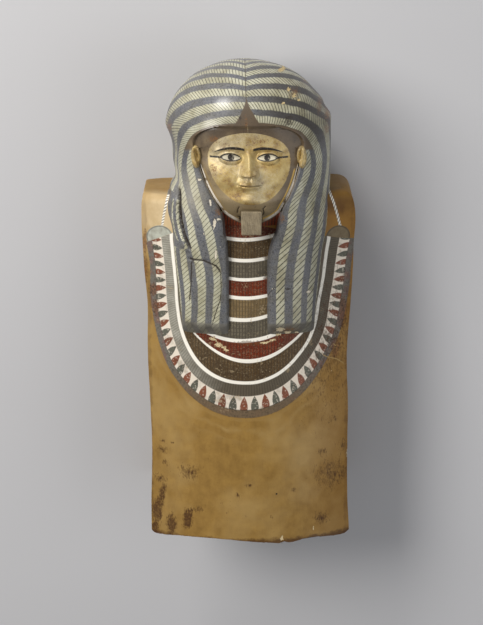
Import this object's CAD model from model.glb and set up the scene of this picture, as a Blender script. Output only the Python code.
# A funerary helmet mask of linen and plaster, painted and gilded. It lies on its back on a pale floor.
# Lengths are millimetres. x runs across the chest, h is the height above the bottom rim along the mask,
# and z is the depth above the floor on which its back lies.
import math

import bmesh
import bpy
import numpy as np
from mathutils import Matrix, Vector, noise
from mathutils.kdtree import KDTree


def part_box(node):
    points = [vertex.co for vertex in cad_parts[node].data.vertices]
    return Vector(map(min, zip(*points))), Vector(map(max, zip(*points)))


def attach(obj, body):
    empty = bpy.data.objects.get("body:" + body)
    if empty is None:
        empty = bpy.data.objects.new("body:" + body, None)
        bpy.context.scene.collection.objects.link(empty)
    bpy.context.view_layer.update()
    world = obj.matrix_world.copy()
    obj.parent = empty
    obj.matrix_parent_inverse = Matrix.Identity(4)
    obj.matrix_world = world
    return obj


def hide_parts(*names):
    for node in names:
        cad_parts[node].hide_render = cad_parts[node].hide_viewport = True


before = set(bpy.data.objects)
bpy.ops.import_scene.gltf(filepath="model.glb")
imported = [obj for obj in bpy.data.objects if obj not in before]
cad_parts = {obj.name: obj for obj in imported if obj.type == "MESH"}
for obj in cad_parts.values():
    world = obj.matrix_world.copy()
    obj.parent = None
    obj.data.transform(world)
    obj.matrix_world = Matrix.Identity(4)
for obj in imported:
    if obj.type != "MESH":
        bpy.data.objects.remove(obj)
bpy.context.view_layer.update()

mm = 0.001
maskLow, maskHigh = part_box("mask")
rimAt = maskLow.y / mm                       # where h is 0, along y
crownHeight = (maskHigh.y - maskLow.y) / mm
print("frame loaded, mask", round(crownHeight), "mm long")


def smoothStep(start, end, value):
    t = np.clip((value - start) / (end - start), 0.0, 1.0)
    return t * t * (3.0 - 2.0 * t)


def through(table, height):
    # smooth curve through pairs of height and size
    at, size = np.array(table, float).T
    slope = np.gradient(size, at)
    height = np.clip(height, at[0], at[-1])
    k = np.clip(np.searchsorted(at, height, side="right") - 1, 0, len(at) - 2)
    step = at[k + 1] - at[k]
    t = (height - at[k]) / step
    return ((1 + 2 * t) * (1 - t) ** 2 * size[k] + t * (1 - t) ** 2 * step * slope[k]
            + t * t * (3 - 2 * t) * size[k + 1] + t * t * (t - 1) * step * slope[k + 1])


def swell(x, h, centre, radii):
    # a round swelling of height 1
    return np.exp(-((x - centre[0]) / radii[0]) ** 2 - ((h - centre[1]) / radii[1]) ** 2)


# Breast and back panels, with the shoulders that join them

panel = {
    "wall": 5,
    "curve": 232,                            # radius of the breast panel across the chest
    "front": 200,
    "leftEdge": ((0, 144), (47, 143.5), (126, 142), (202, 144), (278, 146.5), (354, 147.5), (398, 151),
                 (442, 153.5), (479, 154.5), (497, 154), (512, 151.5)),
    "rightEdge": ((0, 151.5), (47, 149), (126, 147.5), (202, 147), (279, 145.5), (354, 150), (398, 152.5),
                  (442, 154), (479, 155.5), (490, 154), (498, 151.5), (505, 147), (509, 142), (512, 134)),
    "leftCorner": 3,
    "shoulderTop": 512,
    "shoulderEdge": 14,
    "restHalfWidth": 52,
    "backRise": 24,
    "backEnd": 36,
    "slotTop": 452,
    "slotDepths": (33, 139),
    "rim": ((-146, 3), (-141, -2), (-134, -2), (-102, 1.4), (-66, 3.4), (-26, 2.2), (17, -2), (38, -4), (48, -4.6),
            (52, -2.6), (56, -2.8), (61, -4.6), (67, -4.2), (89, -0.4), (115, -2.4), (140, -4.6), (147, -4.2),
            (151, -1)),                      # how far the worn bottom rim strays
    "rimReach": 26,
}


def panelFront(x):
    return panel["front"] - panel["curve"] + np.sqrt(panel["curve"] ** 2 - x ** 2)


def panelBack(x):
    reach = 145 - panel["restHalfWidth"]
    return panel["backRise"] * (np.maximum(np.abs(x) - panel["restHalfWidth"], 0.0) / reach) ** 2


def panelEdges(h):
    corner = np.clip((h - panel["shoulderTop"] + panel["leftCorner"]) / panel["leftCorner"], 0.0, 1.0)
    left = through(panel["leftEdge"], h) - panel["leftCorner"] * (1.0 - np.sqrt(1.0 - corner ** 2))
    return float(left), float(through(panel["rightEdge"], h))


def bodyRing(h, columns, backColumns, shrink=0.0):
    left, right = panelEdges(h)
    edge = np.clip((h - panel["shoulderTop"] + panel["shoulderEdge"]) / panel["shoulderEdge"], 0.0, 1.0)
    rounding = panel["shoulderEdge"] * (1.0 - math.sqrt(1.0 - edge ** 2)) + shrink
    across = np.where(columns < 0, (left - shrink) * columns, (right - shrink) * columns)
    backAcross = np.where(backColumns < 0, (left - shrink) * backColumns, (right - shrink) * backColumns)
    x = np.concatenate([across, backAcross])
    z = np.concatenate([panelFront(across) - rounding, panelBack(backAcross) + rounding])
    return np.stack([x, np.full_like(x, h), z], 1)


# Head, wig and lappets

wig = {
    "middle": 604,                           # widest part, where the dome begins
    "centre": 118,                           # depth of its middle plane
    "front": 118,
    "back": 117.9,
    "widths": ((300, 95), (331, 96), (412, 104), (465, 109.5), (530, 116), (604, 119)),
    "squareness": 2.3,
    "dome": (1.9, 1.85),
    "lean": 0.045,                           # the head leans a little to its right
    "leanHeight": 595,
    "lappetEnd": 331,
    "lappetSlope": 22,
    "lappetSink": 2,
    "lappetReliefs": ((309, 11), (345, 13), (420, 18), (465, 22)),
    "lappetSquareness": 2.7,
    "opening": ((300, 27), (430, 27.5), (450, 31), (468, 36.5), (488, 39.5), (503, 44), (522, 55), (544, 64.5),
                (561, 70), (590, 77)),
    # how far the left side is pushed in at the temple and out by the neck, and between which widths
    "leftPush": ((440, 0), (453, -1.2), (459, -2.4), (465, -3.6), (477, -7.6), (490, -11.6), (502, -11.4), (514, -3.4),
                 (522, -0.5), (527, 3), (533, 7.5), (540, 9), (560, 7.5), (588, 7.5), (612, 0)),
    "pushAcross": (96, 114),
    "chinLine": (478.0, 0.012),              # lower edge of the face: height at the middle, and its rise to the sides
    "archBase": 590,
    "hairline": 624,
    "archSquareness": 2.6,
    "step": 4,
}

face = {
    "middle": ((300, 196), (462, 196), (474, 199), (483, 206), (491, 214), (499, 224), (507, 231), (516, 236),
               (526, 234), (533, 233), (540, 234), (551, 233), (565, 229), (577, 226), (590, 227), (604, 228),
               (615, 229), (624, 231)),
    "edge": ((300, 192), (466, 192), (476, 196), (486, 204), (496, 210), (507, 214), (530, 215), (561, 211),
             (590, 208), (612, 214), (624, 225)),
    "chin": 515,
    "eyeSpacing": 26,                        # five eye widths across the face
    "eyeHalfWidth": 14.0,
    "upperLid": 5.4,
    "lowerLid": 3.4,
    "noseRelief": 20,
    "mouthHalfWidth": 18,
    "earPlace": (74.5, 577),
    "earSize": (6.8, 15.5),
    "earRelief": 6,
}
third = (wig["hairline"] - face["chin"]) / 3
brow = wig["hairline"] - third
noseBase = brow - third
eyeLine = brow - 10.5
mouth = noseBase - third / 3


def lean(h):
    return wig["lean"] * (wig["leanHeight"] - h) * smoothStep(430, 500, h)


def uneven(x, h):
    # x with the dent and the bulge of the wig's left side
    return x + through(wig["leftPush"], h) * smoothStep(*wig["pushAcross"], -x)


def domeShare(h, shrink=0.0):
    t = np.clip((h - wig["middle"]) / (crownHeight - shrink - wig["middle"]), 0.0, 1.0)
    return (1.0 - t ** wig["dome"][0]) ** (1.0 / wig["dome"][1])


def acrossWig(x, halfWidth):
    share = np.clip(np.abs(x) / halfWidth, 0.0, 1.0)
    return (1.0 - share ** wig["squareness"]) ** (1.0 / wig["squareness"])


def opening(h):
    # half width of the wig's opening: the collar strip between the lappets, then the face
    arch = np.clip((h - wig["archBase"]) / (wig["hairline"] - wig["archBase"]), 0.0, 1.0)
    return through(wig["opening"], h) * (1.0 - arch ** wig["archSquareness"]) ** (1.0 / wig["archSquareness"])


def lappet(x, h):
    inner, outer = 27.0, through(wig["widths"], h)
    share = np.clip((np.abs(x) - inner) / (outer - inner), 0.0, 1.0)
    pad = (1.0 - np.abs(2.0 * share - 1.0) ** wig["lappetSquareness"]) ** (1.0 / wig["lappetSquareness"])
    end = smoothStep(wig["lappetEnd"] - wig["lappetSlope"], wig["lappetEnd"], h)
    return panelFront(x) - wig["lappetSink"] + (through(wig["lappetReliefs"], h) + wig["lappetSink"]) * pad * end


def wigFront(x, h):
    head = wig["centre"] + wig["front"] * domeShare(h) * acrossWig(x, through(wig["widths"], h) * domeShare(h))
    toHead = smoothStep(435, 560, h)
    return head * toHead + lappet(x, h) * (1.0 - toHead)


def faceForm(x, h):
    share = np.clip(np.abs(x) / np.maximum(opening(h), 1.0), 0.0, 1.0)
    edge = through(face["edge"], h)
    return edge + (through(face["middle"], h) - edge) * (1.0 - share ** 2.4)


def lidEdges(side):
    # heights of the upper and lower lid above the eye line, at a distance from the middle
    u = np.clip((side - face["eyeSpacing"]) / face["eyeHalfWidth"], -1.0, 1.0)
    return face["upperLid"] * (1 - u * u) ** 0.75 + 0.7 * u, -face["lowerLid"] * (1 - u * u) ** 0.85 + 0.7 * u


def noseAndBrow(side, h):
    down = np.clip((brow - h) / (brow - noseBase - 5.0), 0.0, 1.0)
    under = smoothStep(noseBase - 2.5, noseBase + 4.5, h)
    ridge = (1.5 * smoothStep(brow + 6, brow - 4, h) + (face["noseRelief"] - 1.5) * down ** 1.12) * under
    nose = ridge * np.exp(-(side / (4.6 + 4.4 * down)) ** 1.9)
    nose += 2.4 * swell(side, h, (0, noseBase + 7), (5.5, 5)) * under
    nose += 7.5 * swell(side, h, (8.6, noseBase + 5), (3.7, 4.8)) * smoothStep(noseBase - 2, noseBase + 2.5, h)
    nose -= 1.3 * swell(side, h, (13.4, noseBase + 6.5), (2.0, 5.5))
    nose -= 3.4 * swell(side, h, (5.4, noseBase + 0.6), (2.3, 1.7))
    browRidge = 1.6 * np.exp(-((h - browLine(side)) / 3.4) ** 2) * smoothStep(2, 8, side) * smoothStep(54, 40, side)
    return nose + browRidge


def browLine(side):
    return brow + 3.2 - 3.4 * ((side - 22.0) / 20.0) ** 2


def eyesOf(side, h):
    spacing = face["eyeSpacing"]
    hollow = -4.6 * swell(side, h, (spacing - 4, eyeLine + 1.5), (15, 9.5))
    hollow -= 2.2 * swell(side, h, (11.5, eyeLine + 1), (4.0, 6.5))
    ball = 5.0 * np.sqrt(np.maximum(1 - ((side - spacing) / 17) ** 2 - ((h - eyeLine) / 9.5) ** 2, 0.0))
    top, bottom = lidEdges(side)
    up = h - eyeLine
    near = smoothStep(face["eyeHalfWidth"] + 3.0, face["eyeHalfWidth"] - 1.5, np.abs(side - spacing))
    rims = 1.15 * np.exp(-((up - top - 1.3) / 1.5) ** 2) + 0.8 * np.exp(-((up - bottom + 1.2) / 1.4) ** 2)
    crease = -0.7 * np.exp(-((up - top - 4.6) / 1.3) ** 2)
    sunk = -0.7 * smoothStep(-0.6, 0.6, up - bottom) * smoothStep(0.6, -0.6, up - top)
    return hollow + ball + (rims + crease + sunk) * near


def mouthLine(side):
    return mouth - 0.6 + 1.5 * (side / face["mouthHalfWidth"]) ** 2


def mouthAndChin(side, h):
    half = face["mouthHalfWidth"]
    reach = np.clip(1 - (side / half) ** 2, 0.0, 1.0)
    line = mouthLine(side)
    top = line + (5.0 - 1.1 * np.exp(-(side / 2.6) ** 2)) * reach ** 0.8
    low = line - 6.0 * reach ** 0.7
    upper = np.clip((h - line) / np.maximum(top - line, 0.4), 0.0, 1.0)
    lower = np.clip((line - h) / np.maximum(line - low, 0.4), 0.0, 1.0)
    lips = (2.3 * np.sin(math.pi * upper ** 0.8) + 3.0 * np.sin(math.pi * lower ** 0.75)) * reach ** 0.5
    inside = smoothStep(half + 2.0, half - 1.5, side)
    form = 3.2 * swell(side, h, (0, mouth), (19, 13)) + lips - 1.7 * np.exp(-((h - line) / 1.3) ** 2) * inside
    form -= 1.0 * swell(side, h, (half + 1.5, mouth + 0.8), (2.6, 2.6))
    form += (0.7 * np.exp(-((side - 3.2) / 1.5) ** 2) - 0.9 * np.exp(-(side / 2.0) ** 2)) \
        * smoothStep(mouth + 4, mouth + 6, h) * smoothStep(noseBase - 1, noseBase - 3.5, h)
    form -= 1.7 * swell(side, h, (0, mouth - 10), (14, 3.4))
    form += 2.6 * swell(side, h, (0, face["chin"] + 5), (13, 8))
    form += 2.5 * swell(side, h, (38, noseBase + 8), (17, 16))
    form -= 0.7 * np.exp(-((side - 15.5 - 0.35 * (noseBase + 4 - h)) / 2.6) ** 2) \
        * smoothStep(mouth, mouth + 5, h) * smoothStep(noseBase + 7, noseBase + 2, h)
    return form


def earsOf(side, h):
    p = (side - face["earPlace"][0]) / face["earSize"][0]
    q = (h - face["earPlace"][1]) / face["earSize"][1]
    q = q + 0.10 * p
    reach = np.hypot(p * (1.0 + 0.22 * np.clip(-q, 0, 1)), q)
    body = face["earRelief"] * np.clip(1.0 - reach ** 5, 0.0, 1.0) ** 0.5
    rim = 1.7 * np.exp(-((reach - 0.80) / 0.13) ** 2) * smoothStep(-0.75, -0.2, q + 0.3 * p)
    bowl = -3.4 * np.exp(-((p + 0.18) / 0.42) ** 2 - ((q + 0.02) / 0.42) ** 2)
    lobe = 1.0 * np.exp(-((p + 0.1) / 0.5) ** 2 - ((q + 0.74) / 0.2) ** 2)
    return np.where(reach < 1.0, body + rim + bowl + lobe, 0.0)


def headFront(x, h, detail=True):
    inside = 1.0 - smoothStep(-wig["step"] / 2, wig["step"] / 2, np.abs(x) - opening(h))
    inside = inside * (1.0 - smoothStep(wig["hairline"] - 5, wig["hairline"], h))
    shown = faceForm(x, h)
    form = shown
    if detail:
        side = np.abs(x)
        form = shown + noseAndBrow(side, h) + eyesOf(side, h) + mouthAndChin(side, h)
    form = form * inside + wigFront(x, h) * (1.0 - inside)
    return form + earsOf(np.abs(x), h) if detail else form


def frontColumns(h, halfWidth, counts):
    inner, outer = counts
    edge = float(opening(h))
    if h > wig["archBase"]:
        edge = min(max(edge, 46.0), 0.6 * halfWidth)
    half = wig["step"] / 2
    faceSide = (edge - half) * np.linspace(0.0, 1.0, inner)
    step = edge + half * np.linspace(-1.0, 1.0, 5)[1:-1]
    wigSide = edge + half + (halfWidth - edge - half) * np.sin(np.linspace(0.0, 1.0, outer) * math.pi / 2)
    columns = np.concatenate([faceSide, step, wigSide])
    return np.concatenate([-columns[:0:-1], columns])


def headRing(h, counts, backColumns, shrink=0.0, detail=True):
    full = float(through(wig["widths"], h) * domeShare(h, shrink))
    halfWidth = full - shrink
    across = frontColumns(h, halfWidth, counts)
    flat = float(smoothStep(435, 498, h))
    heights = np.full_like(across, h)
    front = headFront(across * full / halfWidth, heights, detail)
    side = wig["centre"] * flat + (panelFront(halfWidth) - 3.0) * (1.0 - flat)
    front = wig["centre"] + (front - wig["centre"]) * (1.0 - shrink / wig["front"])
    front[0] = front[-1] = side
    backAcross = halfWidth * np.sin(backColumns * math.pi / 2)
    backHead = wig["centre"] - (wig["back"] - shrink) * domeShare(h, shrink) * acrossWig(backAcross, halfWidth)
    back = backHead * flat + (panelFront(backAcross) - 3.0) * (1.0 - flat)
    x = uneven(np.concatenate([across, backAcross[1:-1]]), h) + lean(h)
    z = np.concatenate([front, back[1:-1]])
    return np.stack([x, np.full_like(x, h), z], 1)


# Solids from rings

paintSlots = ("wigPaint", "panelPaint", "lining", "rawEdge")
onHead, onPanel, onLining, onRawEdge = range(4)


def lofted(name, rings, slot, crown=None, lowSlot=None):
    # closed solid through rings of equal count, with flat ends or a point at the crown
    count = len(rings[0])
    points = np.concatenate(rings)
    ring = np.arange(count)
    following = (ring + 1) % count
    faces = []
    for row in range(len(rings) - 1):
        low, high = row * count, (row + 1) * count
        faces += np.stack([low + ring, low + following, high + following, high + ring], 1).tolist()
    faces.append(ring[::-1].tolist())
    last = (len(rings) - 1) * count
    if crown is None:
        faces.append((last + ring).tolist())
    else:
        points = np.concatenate([points, [crown]])
        faces += [[last + i, last + (i + 1) % count, len(points) - 1] for i in range(count)]
    mesh = bpy.data.meshes.new(name)
    mesh.from_pydata(((points + (0, rimAt, 0)) * mm).tolist(), [], faces)
    work = bmesh.new()
    work.from_mesh(mesh)
    bmesh.ops.recalc_face_normals(work, faces=work.faces)
    work.to_mesh(mesh)
    work.free()
    for _ in paintSlots:
        mesh.materials.append(None)
    slots = np.full(len(mesh.polygons), slot)
    slots[(len(rings) - 1) * count] = slot if lowSlot is None else lowSlot
    mesh.polygons.foreach_set("material_index", slots)
    piece = bpy.data.objects.new(name, mesh)
    bpy.context.scene.collection.objects.link(piece)
    return piece


def combine(piece, other, operation):
    step = piece.modifiers.new(operation.lower(), "BOOLEAN")
    step.operation = operation
    step.solver = "MANIFOLD"
    step.object = other
    mesh = bpy.data.meshes.new_from_object(piece.evaluated_get(bpy.context.evaluated_depsgraph_get()))
    piece.modifiers.clear()
    old = piece.data
    piece.data = mesh
    bpy.data.meshes.remove(old)
    bpy.data.objects.remove(other)


def headSolid():
    counts = (62, 44)
    backColumns = np.linspace(-1, 1, 79)[::-1]
    slope = wig["lappetEnd"] - wig["lappetSlope"]
    turn = np.radians(np.linspace(16, 88, 46))
    heights = np.concatenate([
        np.linspace(slope, wig["lappetEnd"], 14), np.arange(333, 472, 2.2), np.arange(473, 627, 1.25),
        wig["middle"] + (crownHeight - wig["middle"]) * np.sin(turn)])
    rings = [headRing(h, counts, backColumns) for h in heights]
    return lofted("headForm", rings, onHead, (lean(crownHeight), crownHeight, wig["centre"]))


def headHollow():
    wall = panel["wall"]
    backColumns = np.linspace(-1, 1, 33)[::-1]
    turn = np.radians(np.linspace(15, 86, 16))
    heights = np.concatenate([np.linspace(498, wig["hairline"], 24),
                              wig["middle"] + (crownHeight - wall - wig["middle"]) * np.sin(turn)])
    rings = [headRing(h, (12, 12), backColumns, wall, False) for h in heights]
    return lofted("headHollow", rings, onLining, (lean(crownHeight), crownHeight - wall, wig["centre"]))


def chestHollow():
    wall = panel["wall"]
    columns, backColumns = np.linspace(-1, 1, 61), np.linspace(-1, 1, 31)[::-1]
    rings = [bodyRing(h, columns, backColumns, wall) for h in (-20, *range(20, 481, 20))]
    top = panel["shoulderTop"] - wall
    for turn in np.radians([15, 35, 60, 90]):
        ring = bodyRing(480, columns, backColumns, wall + 10 * (1.0 - math.cos(turn)))
        ring[:, 1] = top - 10 * (1.0 - math.sin(turn))
        rings.append(ring)
    return lofted("chestHollow", rings, onLining)


def sideSlot(side):
    low, high = panel["slotDepths"]
    middle, radius = (low + high) / 2, (high - low) / 2
    turn = np.linspace(0.0, math.pi, 25)
    y = np.concatenate([[-20, -20], panel["slotTop"] - radius + radius * np.sin(turn)])
    z = np.concatenate([[low, high], middle + radius * np.cos(turn)])
    rings = [np.stack([np.full_like(y, side * at), y, z], 1) for at in (128.0, 178.0)]
    return lofted("sideSlot", rings, onRawEdge)


def backEndCut():
    depth = panel["slotDepths"][1]
    corners = np.array([(-200.0, -10.0), (-200.0, depth), (200.0, depth), (200.0, -10.0)])
    rings = [np.stack([corners[:, 0], np.full(4, y), corners[:, 1]], 1) for y in (-10.0, float(panel["backEnd"]))]
    return lofted("backEnd", rings, onRawEdge)


def bodySolid():
    columns, backColumns = np.linspace(-1, 1, 91), np.linspace(-1, 1, 61)[::-1]
    top, edge = panel["shoulderTop"], panel["shoulderEdge"]
    heights = np.concatenate([np.linspace(0, top - edge - 4, 125),
                              top - edge * (1.0 - np.sin(np.radians(np.linspace(0, 90, 10))))])
    return lofted("mummyMask", [bodyRing(h, columns, backColumns) for h in heights], onPanel, lowSlot=onRawEdge)


def maskShell():
    piece = bodySolid()
    combine(piece, headSolid(), "UNION")
    combine(piece, chestHollow(), "DIFFERENCE")
    combine(piece, headHollow(), "DIFFERENCE")
    for side in (-1, 1):
        combine(piece, sideSlot(side), "DIFFERENCE")
    combine(piece, backEndCut(), "DIFFERENCE")
    return piece


mask = maskShell()
print("shell:", len(mask.data.polygons), "faces")

# Damage and unevenness, moved into the mesh

foldLine = ((-101, 526), (-102, 512), (-102.4, 500), (-101.4, 483), (-97.5, 469), (-92.5, 458), (-87, 449), (-83, 442))

damage = {
    "seed": 7,                               # of the waviness
    "frontDepth": 120,                       # above this depth the surface counts as the front
    "unevenness": ((0.9, 90), (0.35, 28)),   # size and spacing of the hand-made waviness
    "fold": foldLine,
    "foldDepth": 4.5,
    "foldWidth": 2.2,
    "foldBulge": 2.5,
    "crackHalf": 1.6,
    "crownSink": 1.2,                        # of the crown's last stretch
    "crownReach": 26,
    "foldStripes": ((0, 1.5), (1.8, 1.6), (2.4, 1.78), (3.2, 2.0), (4.0, 2.24), (4.6, 2.4), (8.3, 2.62), (8.9, 2.78),
                    (9.8, 3.0), (10.8, 3.24), (11.4, 3.4), (20, 3.6)),
    "shoulderLift": 6.5,                     # of the right shoulder, over these widths and heights
    "liftFrom": (92, 118),
    "liftUp": (462, 505),
    "dents": ((58, 672, 40, 26, 2.5), (112, 631, 12, 9, -2.2), (116, 616, 10, 7, 2.0)),  # x, h, radii, push along x
    "cracks": (
        foldLine,
        ((-84, 429), (-82.2, 427), (-63.4, 425.8), (-54, 422), (-45.9, 418.7), (-39.7, 409.5)),
        ((-39.7, 409.5), (-38.5, 383.5), (-39.8, 368), (-43.6, 357.5), (-51.2, 333.7)),
        ((-81, 423), (-82, 396), (-84, 366)),
        ((34.5, 383.5), (30, 378), (26.6, 370.5)),
        ((53, 386), (57, 383), (61.5, 386)),
        ((-16, 509), (-18.5, 504), (-19.5, 497)),
        ((-19.5, 491), (-15.5, 490.5), (-15.5, 486)),
        ((16.2, 493), (18, 499), (17, 505), (21, 510)),
    ),
    "crackDepths": (0.0, 1.5, 0.8, 0.3, 0.7, 0.4, 0.8, 0.8, 0.8),
    "crackWidths": (3.0, 2.2, 1.0, 1.5, 0.8, 0.8, 1.2, 1.2, 1.3),
    "pale": ((-52, 482, 2.8, 9), (-46, 489, 3, 1.5), (-57, 513, 1.8, 7), (-71, 545, 4, 1.8), (-46.3, 437, 2.0, 9),
             (47, 323, 7, 5), (56, 317, 6, 3), (70, 316, 3, 2), (51, 691, 6.5, 1.8), (58, 669, 3, 2.6),
             (66, 660, 3.2, 2.6), (50.5, 653, 3, 2.4), (73, 654.5, 2.4, 2), (87, 378, 5, 1.6), (36.5, 385, 3, 1.6),
             (-66, 466, 1.6, 1.6), (-50, 308, 7, 3.5), (-43, 299, 6, 5), (-35, 296, 6, 3), (-31, 290, 5, 2.5),
             (24, 302, 9, 2.2), (36, 306, 5, 2.5), (44, 314, 5, 3), (-23.4, 300.6, 2.5, 1.5), (146.5, 120, 1.8, 9),
             (97, 13.6, 1.9, 4), (49.7, 5.9, 3.5, 4), (150.8, -4, 2.4, 3), (121.5, 250.5, 2.2, 2.2),
             (-41, 447, 1.4, 1.4), (132, 477, 1.2, 1.2), (-138, 457, 1.4, 1.4)),
    "rust": ((113.8, 622, 6, 12), (112, 604, 6, 12), (-112, 610, 6, 12), (-2, 626, 2.4, 12), (-138, 371, 7, 12),
             (-135, 345, 6, 14), (-151, 440, 4, 20), (66, 664, 9, 9), (138, 340, 7, 28), (128, 285, 8, 18),
             (-150, 400, 4, 24), (3, 302, 34, 4), (-48, 603, 10, 7), (-50, 562, 8, 9), (18, 601, 12, 5),
             (-47, 499, 6, 9), (44, 489, 5, 9), (55, 322, 20, 8), (86, 676, 9, 9), (104, 640, 7, 12)),
    # a fifth number is the strength
    "dark": ((-130, 85, 9, 6, 0.5), (-124, 71, 5, 6, 1.2), (-127, 61, 5.5, 9, 1.3), (-131, 47, 6.5, 11, 1.4),
             (-135, 32, 8.5, 18, 1.5), (-138, 8, 6, 12, 1.2), (-113, 17, 8.5, 17, 1.4),
             (-112, 31, 3, 5.5), (-89, 28, 8, 18, 1.4),
             (-84, 44, 3, 5), (-74, 46, 8, 4.2, 0.55), (-85, 102, 12, 9, 0.44), (-87, 102, 3, 2.4, 0.8),
             (-126, 144, 3.4, 2, 0.6), (-112, 143, 3.8, 1.6, 0.8), (-126, 130, 7, 5, 0.45), (-122, 111, 4.2, 4, 0.45),
             (1, 87, 5.5, 2.2, 0.8), (-16, 71, 4.2, 4.2, 0.5), (67, 76, 3.4, 4.3, 0.8), (116, 102, 3, 2.2, 1.1),
             (110, 130, 5.5, 4, 0.55), (126, 177, 4.6, 5.2, 0.55), (125, 94, 19, 15, 0.38), (141, 135, 5, 7, 0.5),
             (109, 28, 9, 8, 0.5), (-39, 59, 2.3, 2, 0.5), (-2, 38, 2.3, 2.4, 0.5), (34, 37, 2.3, 2.4, 0.5),
             (-31, 45, 2, 2, 0.5), (-9.9, 634.5, 2.2, 3), (57, 629, 9, 6, 0.4), (-15, 487, 3, 4), (14, 487, 3, 4),
             (137, 318, 2, 5), (57, 385, 3, 1.5), (-2.2, 628, 1.2, 2.5), (-147, 175, 3, 14, 0.6),
             (118, 300, 20, 50, 0.2)),
    "scratches": (((108.2, 278), (114.5, 273.9), (129.3, 268.2), (140, 259.8)), ((123.8, 292.5), (129.1, 287.4))),
    "hole": (41.9, 72.5, 1.3),
}


def polylineField(points, x, h):
    # signed distance to a line through points, and how far along it, from 0 to 1
    points = np.array(points, float)
    best = np.full(x.shape, 1e9)
    signed = np.full(x.shape, 99.0)
    along = np.zeros(x.shape)
    total = len(points) - 1
    for k in range(total):
        start, step = points[k], points[k + 1] - points[k]
        length = np.hypot(*step)
        dx, dh = x - start[0], h - start[1]
        share = (dx * step[0] + dh * step[1]) / length ** 2
        held = np.clip(share, 0.0, 1.0)
        distance = np.hypot(dx - held * step[0], dh - held * step[1])
        side = np.sign(step[0] * dh - step[1] * dx)
        closer = distance < best
        best = np.where(closer, distance, best)
        signed = np.where(closer, distance * side, signed)
        ends = share if k in (0, total - 1) else held
        along = np.where(closer, (k + ends) / total, along)
    return signed, along


def spotField(spots, x, h):
    # 1 at the middle of the nearest spot, 0 at its edge, negative beyond
    field = np.full(x.shape, -3.0)
    for cx, ch, rx, rh, *strength in spots:
        field = np.maximum(field, (strength or [1.0])[0] * (1.0 - np.hypot((x - cx) / rx, (h - ch) / rh)))
    return field


def restPlaces(mesh):
    places = np.empty(len(mesh.vertices) * 3)
    mesh.vertices.foreach_get("co", places)
    return places.reshape(-1, 3) / mm - (0, rimAt, 0)


def wearShell(piece):
    # waviness, rim, fold and grooves; returns the places before the moves, by which the paint is laid
    mesh = piece.data
    rest = restPlaces(mesh)
    x, h, z = rest.T
    normals = np.empty(len(mesh.vertices) * 3)
    mesh.vertex_normals.foreach_get("vector", normals)
    normals = normals.reshape(-1, 3)
    outer = np.zeros(len(mesh.vertices), bool)
    for part in mesh.polygons:
        if part.material_index in (onHead, onPanel):
            outer[list(part.vertices)] = True
    moved = rest.copy()
    noise.seed_set(damage["seed"])           # without it the noise differs from run to run
    for size, spacing in damage["unevenness"]:
        moved += size * np.array([noise.noise_vector(Vector(place / spacing)) for place in rest])
    moved[:, 2] = np.where(z < 1.0, z, moved[:, 2])
    keep = np.clip(z / 12.0, 0.0, 1.0)
    moved[:, 2] = z + (moved[:, 2] - z) * keep
    for cx, ch, rx, rh, size in damage["dents"]:
        moved[:, 0] += size * swell(x, h, (cx, ch), (rx, rh)) * (z > 40)
    crown = smoothStep(crownHeight - damage["crownReach"], crownHeight, h)
    moved[:, 1] -= damage["crownSink"] * crown
    moved[:, 1] += damage["shoulderLift"] * smoothStep(*damage["liftFrom"], x) * smoothStep(*damage["liftUp"], h)
    rimShare = np.clip(1.0 - h / panel["rimReach"], 0.0, 1.0) * (z > 60)
    moved[:, 1] += through(panel["rim"], x) * rimShare
    moved[:, 1] += rimShare * np.array([noise.noise(Vector((place[0] / 5, 0, 3))) for place in rest]) * 0.9
    xs = x - lean(h)
    onTop = outer & (z > damage["frontDepth"])
    distance, along = polylineField(damage["fold"], xs, h)
    ends = smoothStep(-0.1, 0.15, along) * smoothStep(1.1, 0.85, along)
    push = -damage["foldDepth"] * np.exp(-(distance / damage["foldWidth"]) ** 2) * ends
    push += damage["foldBulge"] * smoothStep(0, 4, -distance) * smoothStep(16, 8, -distance) * ends
    for points, depth in zip(damage["cracks"], damage["crackDepths"]):
        distance, along = polylineField(points, xs, h)
        ends = smoothStep(-0.05, 0.1, along) * smoothStep(1.05, 0.9, along)
        push -= depth * np.exp(-(distance / damage["crackHalf"]) ** 2) * ends
    push -= 0.5 * np.clip(spotField(damage["pale"], xs, h) * 3, 0, 1)
    moved += normals * (push * onTop)[:, None]
    moved[:, 1] += rimAt
    mesh.vertices.foreach_set("co", (moved * mm).ravel())
    mesh.update()
    return rest


rest = wearShell(mask)
print("wear moved into the mesh")

# Coordinates for the paint, stored on the mesh

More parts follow.
